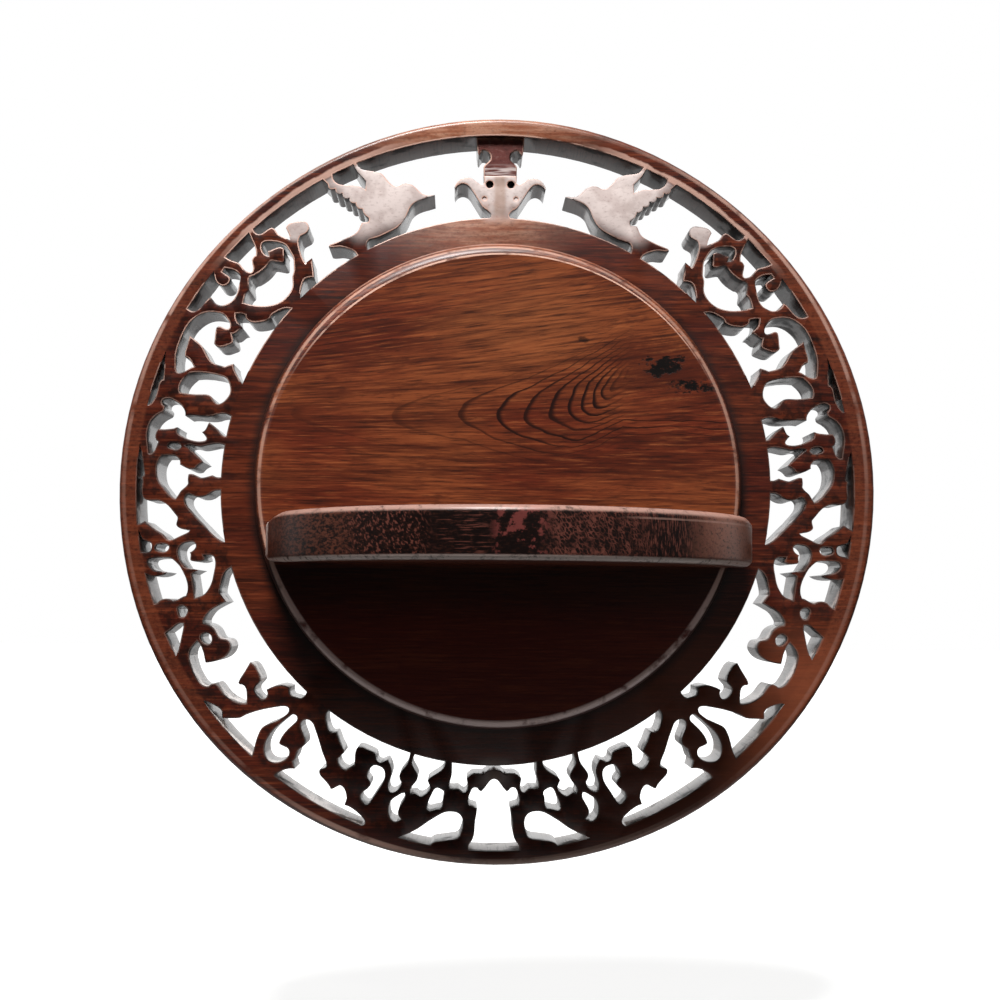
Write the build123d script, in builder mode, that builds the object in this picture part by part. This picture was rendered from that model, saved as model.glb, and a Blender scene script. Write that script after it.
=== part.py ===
from build123d import *
import os
from math import sin, cos, radians

os.makedirs("parts", exist_ok=True)

# A round fretwork wall shelf. The back of the panel lies on the wall in the plane y = 0, the front
# looks along -Y, and the origin is the middle of the panel's back.

# Panel
panel_radius = 152.4
panel_thickness = 22
rim_width = 7.2
rim_rounding = 2
ring_radius = 111.3
ring_rise = 0.3
edge_easing = 0.5

# Centre disc
disc_radius = 98
disc_thickness = 8
disc_rounding = 4.5
disc_offset = 0.4
disc_rise = 1.1

# Shelf board
shelf_radius = 95.8
shelf_thickness = 19
shelf_offset = 4.5
shelf_drop = 13.3
shelf_rounding = 2.8

# Hanger plate and the slot behind it
hanger_rise = 84
hanger_length = 44
hanger_width = 16
hanger_thickness = 1.6
keyhole_radius = 4.5
keyhole_slot_width = 4.4
keyhole_slot_length = 11
keyhole_drop = 5
hanger_screw_spacing = 34
hanger_clearance = 0.15
pocket_depth = 9
pocket_margin = 1.5

# Fasteners: head radius, head height, shank radius, length, tip length, and the span, width and depth
# of the crossed recess
shelf_screw = dict(head=4.2, head_height=2.4, shank=2.2, length=55, tip=6, span=5, cross=1.1, recess=1.6)
disc_screw = dict(head=3.8, head_height=2.2, shank=1.9, length=25, tip=3, span=4.6, cross=1, recess=1.4)
hanger_screw = dict(head=2.7, head_height=1.4, shank=1.4, length=12, tip=2.5, span=3.2, cross=0.7,
                    recess=0.9)
screw_clearance = 0.1
shelf_screw_spacing = 60
disc_screw_circle = 70
disc_screw_sink = 2.5

# Carved band: places
# A point of the band is given by an angle in degrees from the top and by its share of the way out
# from the ring (0) to the rim (1). One half is listed, and the other half mirrors it.
rim_inner_radius = panel_radius - rim_width


def band_point(angle, share, side):
    turn = radians(angle)
    along = ring_radius + share * (rim_inner_radius - ring_radius)
    return (side * sin(turn) * along, cos(turn) * along + ring_rise * (1 - share))


# An outline starts at a point and goes on by smooth curves, each up to a corner, and by stretches
# along the ring or the rim up to an angle.
def curve(*points):
    return ("curve", points)


def along_ring(angle):
    return ("ring", angle)


def along_rim(angle):
    return ("rim", angle)


between_finial_and_bird = [
    (3.9, 1.0),
    curve((3.9, 0.9), (3.85, 0.84)),
    curve((3.6, 0.81), (3.3, 0.84), (2.9, 0.865), (2.2, 0.85), (1.7, 0.80), (1.75, 0.75), (2.3, 0.71),
          (2.95, 0.66)),
    curve((3.0, 0.52), (3.0, 0.44)),
    curve((3.5, 0.42), (4.3, 0.45), (5.2, 0.50), (6.2, 0.515), (7.2, 0.505), (8.0, 0.47), (8.6, 0.415)),
    curve((8.5, 0.39)),
    curve((7.9, 0.43), (6.9, 0.445), (6.1, 0.42), (5.1, 0.32), (4.2, 0.21), (3.4, 0.13), (2.3, 0.08),
          (1.9, 0.03), (2.3, 0)),
    along_ring(28.8),
    curve((28.6, 0.045), (28, 0.085), (26, 0.08), (24, 0.08), (22, 0.09), (20.5, 0.12), (19.5, 0.16),
          (18.5, 0.22), (17.5, 0.29), (16.5, 0.325), (15.2, 0.342), (13.8, 0.348), (12.5, 0.355)),
    curve((13.5, 0.375), (14.5, 0.40), (15.2, 0.45), (15.6, 0.50), (16.2, 0.55), (17, 0.58),
          (18.3, 0.58)),
    curve((19.3, 0.60), (19.8, 0.65), (20.2, 0.72), (20.6, 0.79), (21.3, 0.83), (22.5, 0.88),
          (23.5, 0.93), (23.9, 1.0)),
    along_rim(3.9),
]

wing_gap = [
    (24.5, 1.0),
    curve((24.1, 0.88), (23.5, 0.77)),
    curve((24.2, 0.68)),
    curve((25, 0.745), (26.5, 0.81), (27.8, 0.87), (28.3, 0.93), (28.2, 1.0)),
    along_rim(24.5),
]

behind_bird = [
    (30.0, 1.0),
    curve((29.5, 0.93)),
    curve((29.6, 0.88), (28.8, 0.84)),
    curve((28.9, 0.79), (28.1, 0.75)),
    curve((28.2, 0.70), (27.4, 0.66)),
    curve((27.5, 0.61), (26.8, 0.57)),
    curve((26.9, 0.52), (26.2, 0.47)),
    curve((26.3, 0.42), (25.8, 0.34)),
    curve((26.5, 0.30), (27.2, 0.32), (28.2, 0.28), (29, 0.25), (31, 0.245), (33, 0.26), (34.8, 0.285)),
    curve((35.2, 0.27)),
    curve((34.8, 0.245), (33.5, 0.2), (32.3, 0.13), (31.5, 0.06), (31.4, 0)),
    along_ring(46.3),
    curve((45.5, 0.045), (44.5, 0.09), (43.5, 0.125), (42.8, 0.135), (42, 0.115), (41.25, 0.08)),
    curve((40.5, 0.14), (39.7, 0.22), (39.1, 0.275)),
    curve((40.7, 0.275)),
    curve((40.3, 0.38), (39.9, 0.44), (39.3, 0.52), (38.9, 0.55)),
    curve((38, 0.575), (37, 0.565), (36, 0.61), (36.0, 0.68), (37.2, 0.745), (38.5, 0.78), (39.3, 0.765)),
    curve((39.6, 0.68), (40.1, 0.61)),
    curve((40.7, 0.70), (41.0, 0.77), (40.9, 0.83), (41.2, 0.88)),
    curve((42, 0.89), (43.2, 0.905), (43.7, 0.94), (43.8, 1.0)),
    along_rim(30.0),
]

notch_by_curl = [
    (44.7, 1.0),
    curve((45.1, 0.87), (45.7, 0.79), (46.2, 0.755)),
    curve((46.8, 0.76), (47.4, 0.74), (48, 0.68), (48.6, 0.65), (49.2, 0.69)),
    curve((49.3, 0.75), (49.1, 0.83), (49.6, 0.92), (50.1, 1.0)),
    along_rim(44.7),
]

round_curl = [
    (44.7, 0.64),
    curve((45.0, 0.72), (43.9, 0.805), (42.8, 0.76), (41.8, 0.68), (41.3, 0.6), (41.4, 0.52),
          (41.8, 0.42), (42.6, 0.35), (43.4, 0.295), (44.3, 0.26), (45.2, 0.195), (46.3, 0.152),
          (47.7, 0.135), (49.5, 0.15), (51, 0.2), (52.3, 0.28), (53.3, 0.38), (54.0, 0.49)),
    curve((53.5, 0.505), (52.5, 0.53), (51.5, 0.53)),
    curve((50.8, 0.57), (50, 0.62), (49, 0.6)),
    curve((48.3, 0.585), (47.2, 0.57)),
    curve((46, 0.57), (45.2, 0.58)),
    curve((44.2, 0.5), (43.6, 0.465), (42.9, 0.5), (41.9, 0.57)),
    curve((42.3, 0.63), (43.5, 0.665), (44.3, 0.69)),
    curve((44.7, 0.64)),
]

leaf_loop = [
    (52.0, 0.92),
    curve((51.3, 0.925)),
    curve((50.6, 0.85), (50.4, 0.78), (50.6, 0.72), (51.5, 0.68), (52.7, 0.635), (53.9, 0.61),
          (54.8, 0.61), (55.7, 0.635), (56.5, 0.68), (56.8, 0.74), (56.7, 0.80)),
    curve((56.4, 0.845)),
    curve((57, 0.86), (58.5, 0.875), (59.7, 0.91), (60.4, 1.0)),
    along_rim(53.0),
    curve((53.6, 0.94), (53.9, 0.87), (53.6, 0.80), (52.8, 0.775), (52.0, 0.80), (51.9, 0.87),
          (52.0, 0.92)),
]

upper_side_flower = [
    (49.2, 0),
    curve((50, 0.06), (51.5, 0.105), (52.5, 0.125), (53.3, 0.115)),
    curve((54.2, 0.14), (55.3, 0.2), (56.1, 0.28), (56.1, 0.34), (55.6, 0.38)),
    curve((55.9, 0.44), (56.4, 0.485)),
    curve((57.0, 0.455), (57.5, 0.41), (57.7, 0.35), (58.0, 0.31)),
    curve((58.7, 0.345), (59.4, 0.36), (59.9, 0.39)),
    curve((60.4, 0.36), (61.2, 0.33), (62.0, 0.36), (62.8, 0.41), (63.2, 0.47), (63, 0.52)),
    curve((62.2, 0.54), (61.2, 0.57), (60.3, 0.59)),
    curve((59.8, 0.56), (59.7, 0.5), (59.3, 0.455), (58.6, 0.47), (58.0, 0.53), (57.7, 0.6),
          (58.0, 0.68), (58.6, 0.76), (59.4, 0.82), (60.6, 0.87), (62, 0.9), (63.5, 0.905),
          (65.5, 0.895), (67.5, 0.87), (69.2, 0.82), (70.1, 0.775), (69.9, 0.73), (69.0, 0.67),
          (68.2, 0.62)),
    curve((67.8, 0.65), (67.3, 0.70), (67.2, 0.76)),
    curve((66.5, 0.785), (65.5, 0.795), (64.3, 0.81), (63.7, 0.82)),
    curve((63.9, 0.74), (64.4, 0.63), (65, 0.57), (65.8, 0.5), (66.2, 0.44), (66.2, 0.36), (66.0, 0.28)),
    curve((65.2, 0.23), (64.8, 0.2)),
    curve((65.6, 0.17), (66.5, 0.11), (67.3, 0.05), (67.9, 0)),
    along_ring(49.2),
]

upper_rim_slit = [
    (67.8, 1.0),
    curve((70, 0.95), (72, 0.905)),
    curve((72.4, 0.93), (73.5, 0.935), (75, 0.93), (76.3, 0.955), (77.2, 1.0)),
    along_rim(67.8),
]

pear = [
    (69.4, 0.63),
    curve((70.3, 0.665), (71.3, 0.69), (72.5, 0.69), (73.2, 0.665)),
    curve((73.0, 0.57), (72.7, 0.48), (72.2, 0.38), (72.1, 0.33), (72.4, 0.285)),
    curve((73.0, 0.24), (73.2, 0.2), (72.8, 0.155), (71.7, 0.115), (70.5, 0.1), (69.4, 0.12),
          (68.5, 0.16), (68.0, 0.2), (67.9, 0.28), (68.2, 0.4), (68.7, 0.52), (69.4, 0.63)),
]

star = [
    (75.6, 0.58),
    curve((75.2, 0.62), (74.8, 0.7), (74.7, 0.78), (75.2, 0.835), (75.9, 0.83)),
    curve((76.5, 0.79), (77.1, 0.80)),
    curve((77.7, 0.85), (78.5, 0.895), (79.8, 0.925), (81.3, 0.93), (83, 0.9), (84.3, 0.875)),
    curve((84.2, 0.84), (83.2, 0.80), (82.2, 0.785)),
    curve((81.6, 0.825), (80.9, 0.83), (80.1, 0.81)),
    curve((79.9, 0.72), (79.5, 0.63), (79.2, 0.585)),
    curve((80.3, 0.565), (80.7, 0.5), (81.0, 0.42), (81.1, 0.33), (80.9, 0.26)),
    curve((80.3, 0.225), (79.7, 0.25), (79.25, 0.29)),
    curve((78.5, 0.255), (77.8, 0.245), (77.1, 0.235)),
    curve((77.6, 0.17), (78.2, 0.11), (79.0, 0.05), (79.2, 0)),
    along_ring(74.9),
    curve((74.7, 0.07), (75.0, 0.14), (75.6, 0.2)),
    curve((76.0, 0.26), (76.3, 0.35), (76.5, 0.44), (76.9, 0.53)),
    curve((76.2, 0.545), (75.6, 0.58)),
]

bead_hole = [
    (82.5, 0.505),
    curve((82.1, 0.53), (81.95, 0.58), (82.2, 0.645), (82.7, 0.66), (83.05, 0.61), (82.95, 0.53),
          (82.5, 0.505)),
]

mushroom = [
    (84.4, 0.715),
    curve((85.1, 0.745), (86.2, 0.765), (87.5, 0.76), (89, 0.725), (90, 0.67), (91, 0.615), (91.7, 0.56)),
    curve((91.85, 0.53)),
    curve((91.2, 0.5), (90.4, 0.465), (89.8, 0.42), (89.1, 0.385)),
    curve((88.2, 0.39), (87.4, 0.385)),
    curve((87.5, 0.3), (87.9, 0.24), (87.75, 0.17), (87.35, 0.1)),
    curve((87.7, 0.045), (87.7, 0)),
    along_ring(81.0),
    curve((80.9, 0.09), (81.3, 0.17), (81.8, 0.25), (82.0, 0.32), (81.9, 0.4), (82.2, 0.45)),
    curve((82.8, 0.39), (83.6, 0.32), (84.3, 0.26), (84.9, 0.22)),
    curve((85.4, 0.27), (86.2, 0.31)),
    curve((86.4, 0.36), (86.1, 0.44), (85.7, 0.495)),
    curve((84.9, 0.505), (84.4, 0.54), (84.2, 0.6), (84.3, 0.66), (84.4, 0.715)),
]

lower_rim_slit = [
    (83.3, 1.0),
    curve((84.5, 0.965), (86, 0.935), (87.5, 0.91)),
    curve((87.9, 0.91), (88.3, 0.935)),
    curve((89.5, 0.925), (91, 0.93), (91.7, 0.905)),
    curve((92.0, 0.84), (92.0, 0.76), (92.3, 0.69), (92.9, 0.63), (93.9, 0.575), (95.1, 0.52)),
    curve((95.9, 0.53), (96.5, 0.54), (97.1, 0.51), (97.5, 0.455), (97.8, 0.38)),
    curve((98.2, 0.43), (98.5, 0.5), (98.9, 0.58), (99.0, 0.64), (98.4, 0.69)),
    curve((97.6, 0.73), (96.9, 0.79), (96.0, 0.86), (95.4, 0.91)),
    curve((95.9, 0.96), (96.2, 1.0)),
    along_rim(83.3),
]

leaf_on_ring = [
    (90.4, 0),
    curve((90.5, 0.07), (91.1, 0.13)),
    curve((91.6, 0.2), (91.6, 0.28), (91.3, 0.33)),
    curve((91.0, 0.37)),
    curve((91.6, 0.415), (92.5, 0.42), (93.4, 0.395), (94.4, 0.35), (95.5, 0.3), (97, 0.225),
          (98.5, 0.16), (100, 0.09), (101.3, 0)),
    along_ring(90.4),
]

leaf_hole_by_rim = [
    (100.7, 1.0),
    curve((100.5, 0.93), (100.2, 0.88), (99.6, 0.86), (99.1, 0.86), (98.7, 0.9), (98.5, 0.955)),
    curve((97.8, 0.975), (97.0, 1.0)),
    along_rim(100.7),
]

leaf_hole_by_strand = [
    (99.4, 0.76),
    curve((99.5, 0.70), (100, 0.66), (100.5, 0.67), (100.85, 0.72), (100.6, 0.78), (100.1, 0.82),
          (99.6, 0.81), (99.4, 0.76)),
]

snail_curl = [
    (104.2, 0.53),
    curve((104.6, 0.48), (105.0, 0.42), (105.35, 0.375)),
    curve((105.5, 0.42), (105.7, 0.465)),
    curve((107, 0.475), (108.5, 0.49), (110.0, 0.51)),
    curve((110.05, 0.46), (109.9, 0.39), (109.3, 0.33), (108.2, 0.265), (106.8, 0.215), (105.4, 0.175),
          (104.2, 0.16), (103.5, 0.17), (103.1, 0.2), (102.9, 0.25), (102.8, 0.28)),
    curve((103.8, 0.278)),
    curve((103.85, 0.34), (103.6, 0.40), (103.2, 0.44), (102.5, 0.43), (101.8, 0.43)),
    curve((101.5, 0.38), (101.0, 0.35), (100.5, 0.345), (100.05, 0.365), (99.85, 0.42), (99.9, 0.48),
          (100.3, 0.53), (100.9, 0.56), (101.7, 0.57), (102.6, 0.565), (103.5, 0.545), (104.2, 0.53)),
]

hanging_blade = [
    (104.3, 1.0),
    along_rim(109.2),
    curve((108.8, 0.94), (108.45, 0.9), (108.45, 0.84), (108.75, 0.795), (109.2, 0.765)),
    curve((109.25, 0.71), (109.1, 0.65), (109.1, 0.6)),
    curve((108.3, 0.565), (107.2, 0.545), (106, 0.545), (104.8, 0.56), (103.8, 0.58), (102.9, 0.615),
          (102.2, 0.655), (101.85, 0.71), (101.65, 0.78), (101.5, 0.86), (101.7, 0.92), (102.3, 0.94),
          (103, 0.92), (103.6, 0.86), (104.0, 0.79), (104.35, 0.74)),
    curve((104.6, 0.82), (104.5, 0.9), (104.4, 0.96), (104.3, 1.0)),
]

strand_hole = [
    (110.4, 0.70),
    curve((110.8, 0.655), (111.4, 0.64), (112.0, 0.66), (112.4, 0.71), (112.1, 0.75), (111.4, 0.75),
          (110.8, 0.745), (110.4, 0.70)),
]

strand_slit = [
    (113.35, 0.745),
    curve((113.8, 0.755), (114.8, 0.8), (116, 0.865), (117, 0.92), (117.8, 0.97), (118.2, 1.0)),
    along_rim(114.2),
    curve((113.75, 0.94), (113.3, 0.87), (113.1, 0.8), (113.35, 0.745)),
]

lower_side_flower = [
    (106.6, 0),
    curve((106.9, 0.06), (107.8, 0.12), (109, 0.165), (110, 0.2), (110.7, 0.215)),
    curve((111.6, 0.2), (112.75, 0.185)),
    curve((112.85, 0.26), (112.95, 0.34), (113.2, 0.41), (113.7, 0.47), (114.3, 0.515), (114.8, 0.525)),
    curve((115.2, 0.49), (115.9, 0.455), (116.8, 0.435), (117.8, 0.435), (118.6, 0.425)),
    curve((118.95, 0.395), (119.4, 0.365), (120.1, 0.355), (120.9, 0.37), (121.5, 0.41), (121.85, 0.47),
          (121.85, 0.55), (121.6, 0.62), (121.2, 0.69), (121.0, 0.715)),
    curve((120.3, 0.70), (119.4, 0.68), (118.5, 0.67), (117.6, 0.67), (117.1, 0.68)),
    curve((117.4, 0.74), (117.9, 0.80), (118.7, 0.845), (119.8, 0.87), (121.2, 0.89), (122.5, 0.895),
          (123.5, 0.89), (124.2, 0.865), (124.6, 0.83)),
    curve((124.6, 0.78), (124.9, 0.745)),
    curve((125.6, 0.735), (127, 0.735), (128.3, 0.715), (129.5, 0.68), (130.3, 0.64), (130.8, 0.6)),
    curve((130.3, 0.565), (129.6, 0.53), (128.7, 0.495), (128.0, 0.495), (127.5, 0.525)),
    curve((127.1, 0.525)),
    curve((126.6, 0.47), (126.2, 0.4), (125.8, 0.34), (125.3, 0.275)),
    curve((126.2, 0.255), (127.4, 0.26), (128.5, 0.275), (129.3, 0.305)),
    curve((129.5, 0.36), (129.7, 0.41), (130.3, 0.435), (131.2, 0.44), (132, 0.43), (132.4, 0.39)),
    curve((132.0, 0.34), (131.3, 0.32)),
    curve((131.5, 0.27), (132, 0.2), (132.6, 0.15), (133.3, 0.12), (134.0, 0.1)),
    curve((134.6, 0.135), (135.3, 0.155), (136.2, 0.13), (137.1, 0.1), (137.35, 0.06), (137.2, 0.0)),
    along_ring(106.6),
]

bud_hole = [
    (116.4, 0.58),
    curve((116.6, 0.535), (117.3, 0.51), (118.1, 0.525), (118.5, 0.56), (118.3, 0.6), (117.7, 0.63),
          (117.0, 0.635), (116.5, 0.615), (116.4, 0.58)),
]

wide_rim_gap = [
    (126.4, 1.0),
    curve((126.9, 0.95), (127.6, 0.91), (128.5, 0.88), (129.2, 0.88), (129.8, 0.91), (130.2, 0.93)),
    curve((130.9, 0.86), (131.5, 0.81), (132.0, 0.76), (132.2, 0.7), (132.6, 0.63), (133.1, 0.56),
          (133.7, 0.49), (134.4, 0.42), (135.2, 0.35), (136.0, 0.295), (136.7, 0.28), (137.2, 0.31),
          (137.2, 0.38), (136.95, 0.45), (136.5, 0.52), (136.0, 0.59), (135.75, 0.65), (135.9, 0.71),
          (136.3, 0.78), (136.9, 0.86), (137.5, 0.93), (138.0, 1.0)),
    along_rim(126.4),
]

comma = [
    (138.0, 0.32),
    curve((137.75, 0.4), (137.6, 0.48), (137.45, 0.56), (137.5, 0.65), (137.8, 0.73), (138.3, 0.8),
          (139, 0.85), (139.9, 0.88), (140.7, 0.875), (141.5, 0.84), (142.1, 0.785), (142.35, 0.72),
          (142.1, 0.665), (141.6, 0.64), (141, 0.64), (140.3, 0.655), (139.7, 0.655)),
    curve((139.4, 0.6), (139.25, 0.52), (139.3, 0.44), (139.45, 0.37), (139.4, 0.31), (138.9, 0.285),
          (138.4, 0.29), (138.0, 0.32)),
]

above_leaf_branch = [
    (142.9, 1.0),
    curve((142.8, 0.94), (143.1, 0.87), (143.7, 0.815), (144.5, 0.775)),
    curve((143.9, 0.745), (143.5, 0.72)),
    curve((143.4, 0.65), (143.1, 0.58), (143.3, 0.53), (143.4, 0.48)),
    curve((142.7, 0.42), (141.8, 0.385), (141.0, 0.355), (140.5, 0.325), (140.4, 0.28), (140.8, 0.24),
          (141.5, 0.225), (142.4, 0.235), (143.3, 0.27), (144.5, 0.32), (145.8, 0.385), (147.1, 0.45),
          (148.2, 0.5), (148.8, 0.545)),
    curve((148.5, 0.585), (148.1, 0.62), (148.4, 0.66), (149.2, 0.685), (150.2, 0.705), (151.4, 0.75)),
    curve((152.0, 0.705), (152.6, 0.66), (153.3, 0.67), (154.0, 0.71), (154.5, 0.76)),
    curve((154.65, 0.84)),
    curve((155.6, 0.835), (156.8, 0.85), (157.8, 0.875), (158.6, 0.91), (158.9, 0.95), (158.6, 1.0)),
    along_rim(142.9),
]

hook_gap = [
    (158.4, 0.69),
    curve((157.9, 0.735), (157.2, 0.72), (156.6, 0.69), (156.45, 0.645), (156.8, 0.59), (157.25, 0.54)),
    curve((157.2, 0.49), (156.7, 0.46), (156.1, 0.44)),
    curve((155.95, 0.39), (156.1, 0.32), (156.5, 0.28), (157.2, 0.268), (158, 0.27), (158.6, 0.29),
          (159.1, 0.345), (159.25, 0.41), (159.1, 0.48), (158.85, 0.54), (158.6, 0.62), (158.4, 0.69)),
]

below_leaf_branch = [
    (143.2, 0),
    curve((143.35, 0.07), (143.9, 0.11), (144.8, 0.155), (145.6, 0.185), (146.2, 0.19)),
    curve((146.9, 0.155)),
    curve((147.7, 0.185), (148.6, 0.23), (149.6, 0.265), (150.3, 0.305)),
    curve((150.05, 0.36), (149.85, 0.41)),
    curve((150.5, 0.45), (151.4, 0.475), (152.2, 0.47)),
    curve((152.6, 0.425), (153.1, 0.375)),
    curve((152.8, 0.33), (152.4, 0.28), (152.1, 0.23), (152.1, 0.175)),
    curve((153, 0.155), (154.5, 0.15), (155.7, 0.155), (156.2, 0.19)),
    curve((156.9, 0.225), (157.6, 0.22)),
    curve((158.1, 0.185), (158.6, 0.165)),
    curve((159.4, 0.21), (160, 0.265), (160.25, 0.33), (160.25, 0.41), (160.5, 0.465), (161, 0.5),
          (161.6, 0.495), (162.2, 0.455), (162.5, 0.4), (162.4, 0.35)),
    curve((161.9, 0.32), (161.65, 0.28), (161.9, 0.21), (162.3, 0.15), (162.45, 0.11)),
    curve((162.4, 0.05), (162.3, 0)),
    along_ring(143.2),
]

between_bud_and_heart = [
    (163.3, 0),
    curve((163.2, 0.06), (163.25, 0.1)),
    curve((163.9, 0.15), (164.6, 0.19), (165.1, 0.235), (165.1, 0.285), (164.8, 0.33), (164.5, 0.37),
          (164.45, 0.42), (164.75, 0.455)),
    curve((165.2, 0.44), (165.6, 0.435), (166.1, 0.45), (166.7, 0.45), (167.3, 0.42), (167.75, 0.38),
          (167.95, 0.33)),
    curve((167.6, 0.295), (167.15, 0.26)),
    curve((167.5, 0.215), (168.2, 0.175), (169, 0.13), (169.6, 0.085), (169.85, 0.04), (169.85, 0)),
    along_ring(163.3),
]

lower_bird_hook = [
    (163.9, 0.795),
    curve((163.2, 0.81), (162.5, 0.79), (161.95, 0.735), (161.65, 0.67), (161.65, 0.61), (161.95, 0.56),
          (162.5, 0.515), (163.1, 0.475), (163.55, 0.46)),
    curve((163.85, 0.5), (163.8, 0.555), (163.55, 0.61), (163.4, 0.67), (163.5, 0.71), (163.9, 0.745),
          (164.3, 0.765)),
    curve((163.9, 0.795)),
]

under_lower_rim = [
    (164.6, 1.0),
    curve((165.6, 0.93), (166.8, 0.86), (167.7, 0.8), (168.4, 0.745), (169.3, 0.685), (170.4, 0.62),
          (171.5, 0.575), (172.6, 0.56), (173.7, 0.57), (174.4, 0.61), (174.7, 0.67), (174.7, 0.74),
          (174.5, 0.8)),
    curve((174.0, 0.86), (173, 0.885), (171.8, 0.91), (170.6, 0.94), (169.9, 1.0)),
    along_rim(164.6),
]

lower_bird_breast = [
    (168.15, 0.575),
    curve((168.7, 0.595), (169.3, 0.58), (169.9, 0.56), (170.5, 0.55)),
    curve((170.75, 0.5), (170.65, 0.44), (170.75, 0.38)),
    curve((170.4, 0.335), (169.8, 0.32), (169.2, 0.315), (168.8, 0.335), (168.5, 0.385), (168.25, 0.45),
          (168.1, 0.52), (168.15, 0.575)),
]

# These two cross the middle line at the bottom, so each is listed up to it and closed by its mirror.
foot_slot = [
    (171.2, 0),
    curve((171.35, 0.06), (171.55, 0.13), (171.45, 0.2), (171.4, 0.27), (171.6, 0.305)),
    curve((172.2, 0.3), (173, 0.29)),
    curve((173.6, 0.305), (174.1, 0.325), (174.6, 0.32), (174.95, 0.28), (174.9, 0.235)),
    curve((174.75, 0.2), (174.6, 0.165)),
    curve((175.1, 0.13), (175.8, 0.105), (176.8, 0.1), (178, 0.09)),
    curve((178.6, 0.06), (180, 0.05)),
]

spire = [
    (176.0, 1.0),
    curve((176.0, 0.93), (176.4, 0.88)),
    curve((176.7, 0.82), (176.8, 0.74), (176.8, 0.64), (176.95, 0.56), (177.0, 0.495)),
    curve((176.3, 0.48), (175.6, 0.47)),
    curve((175.3, 0.42), (175.35, 0.36), (175.6, 0.305), (176.0, 0.265), (176.5, 0.258), (177.1, 0.285)),
    curve((177.6, 0.302)),
    curve((178.1, 0.265), (178.7, 0.215), (179.3, 0.17), (180, 0.152)),
]

side_openings = [
    between_finial_and_bird, wing_gap, behind_bird, notch_by_curl, round_curl, leaf_loop,
    upper_side_flower, upper_rim_slit, pear, star, bead_hole, mushroom, lower_rim_slit, leaf_on_ring,
    leaf_hole_by_rim, leaf_hole_by_strand, snail_curl, hanging_blade, strand_hole, strand_slit,
    lower_side_flower, bud_hole, wide_rim_gap, comma, above_leaf_branch, hook_gap, below_leaf_branch,
    between_bud_and_heart, lower_bird_hook, under_lower_rim, lower_bird_breast,
]
middle_openings = [(foot_slot, 0), (spire, 1)]

finial_hole_angle = 1.98
finial_hole_share = 0.415
finial_hole_radius = 1.5

# The finial's crown lies lower than the rim's front, and each of its leaves has a small dimple.
crown_half_angle = 5
crown_share = 0.535
crown_depth = 3
leaf_dimple_angle = 3.1
leaf_dimple_share = 0.24
leaf_dimple_radius = 0.8
leaf_dimple_depth = 0.5


# Draws one outline with lines, smooth curves and arcs.
def draw_outline(outline, side):
    angle, share = outline[0]
    for kind, target in outline[1:]:
        if kind == "curve":
            points = [band_point(angle, share, side)] + [band_point(a, s, side) for a, s in target]
            if len(points) == 2:
                Line(*points)
            else:
                Spline(*points)
            angle, share = target[-1]
        else:
            level = 0 if kind == "ring" else 1
            ThreePointArc(band_point(angle, level, side), band_point((angle + target) / 2, level, side),
                          band_point(target, level, side))
            angle, share = target, level


# Draws an outline and its mirror image, joined along the ring or the rim.
def draw_middle_outline(outline, level):
    for side in (1, -1):
        draw_outline(outline, side)
    start = outline[0][0]
    ThreePointArc(band_point(start, level, 1), band_point(180, level, 1), band_point(start, level, -1))


front = Plane.XZ
back = Plane(origin=(0, 0, 0), x_dir=(1, 0, 0), z_dir=(0, 1, 0))

# Screw and hole places in the plane of the wall, as (x, z)
shelf_middle = -shelf_drop - shelf_thickness / 2
shelf_screw_places = [(shelf_offset + step * shelf_screw_spacing, shelf_middle) for step in (-1, 0, 1)]
disc_screw_places = [
    (disc_offset + disc_screw_circle * cos(radians(turn)), disc_rise + disc_screw_circle * sin(radians(turn)))
    for turn in (45, 135, 225, 315)
]
hanger_screw_places = [(0, hanger_rise + step * hanger_screw_spacing / 2) for step in (1, -1)]


# Turns a screw's outline about its own axis: a countersunk head at the depth sink behind the wall
# plane, the shank towards the front. With a clearance, it is the hole that takes the screw.
def turned_screw(screw, place, sink=0, clearance=0, mode=Mode.ADD):
    x, z = place
    shank = screw["shank"] + clearance
    tip = screw["length"] + clearance
    with BuildSketch(Plane.XY.offset(z)) as profile:
        with BuildLine():
            Polyline((x, -sink), (x + screw["head"], -sink), (x + shank, -sink - screw["head_height"]),
                     (x + shank, -sink - tip + screw["tip"]), (x, -sink - tip), close=True)
        make_face()
    revolve(profile.sketch, axis=Axis((x, 0, z), (0, 1, 0)), mode=mode)


# A row of equal screws with crossed recesses in their heads
def screw_set(screw, places, sink=0):
    with BuildPart() as screws:
        for x, z in places:
            turned_screw(screw, (x, z), sink)
            with BuildSketch(back.offset(-sink)):
                with Locations((x, -z)):
                    Rectangle(screw["span"], screw["cross"])
                    Rectangle(screw["cross"], screw["span"])
            extrude(amount=-screw["recess"], mode=Mode.SUBTRACT)
    return screws


# The access hole above a screw head that sits deeper than the back face
def access_hole(screw, place, sink):
    x, z = place
    with BuildSketch(back) as opening:
        with Locations((x, -z)):
            Circle(screw["head"])
    extrude(opening.sketch, amount=-sink, mode=Mode.SUBTRACT)


# The hanger plate's outline, larger by a clearance for its seat in the panel
def hanger_outline(clearance=0):
    with Locations((0, -hanger_rise)):
        SlotOverall(hanger_length + 2 * clearance, hanger_width + 2 * clearance, rotation=90)


# The keyhole: a round entry and a slot that runs up from it, larger by a margin for the pocket
def keyhole_outline(margin=0):
    entry = hanger_rise - keyhole_drop
    with Locations((0, -entry)):
        Circle(keyhole_radius + margin)
    with Locations((0, -entry - keyhole_slot_length / 2)):
        SlotCenterToCenter(keyhole_slot_length, keyhole_slot_width + 2 * margin, rotation=90)


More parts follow.
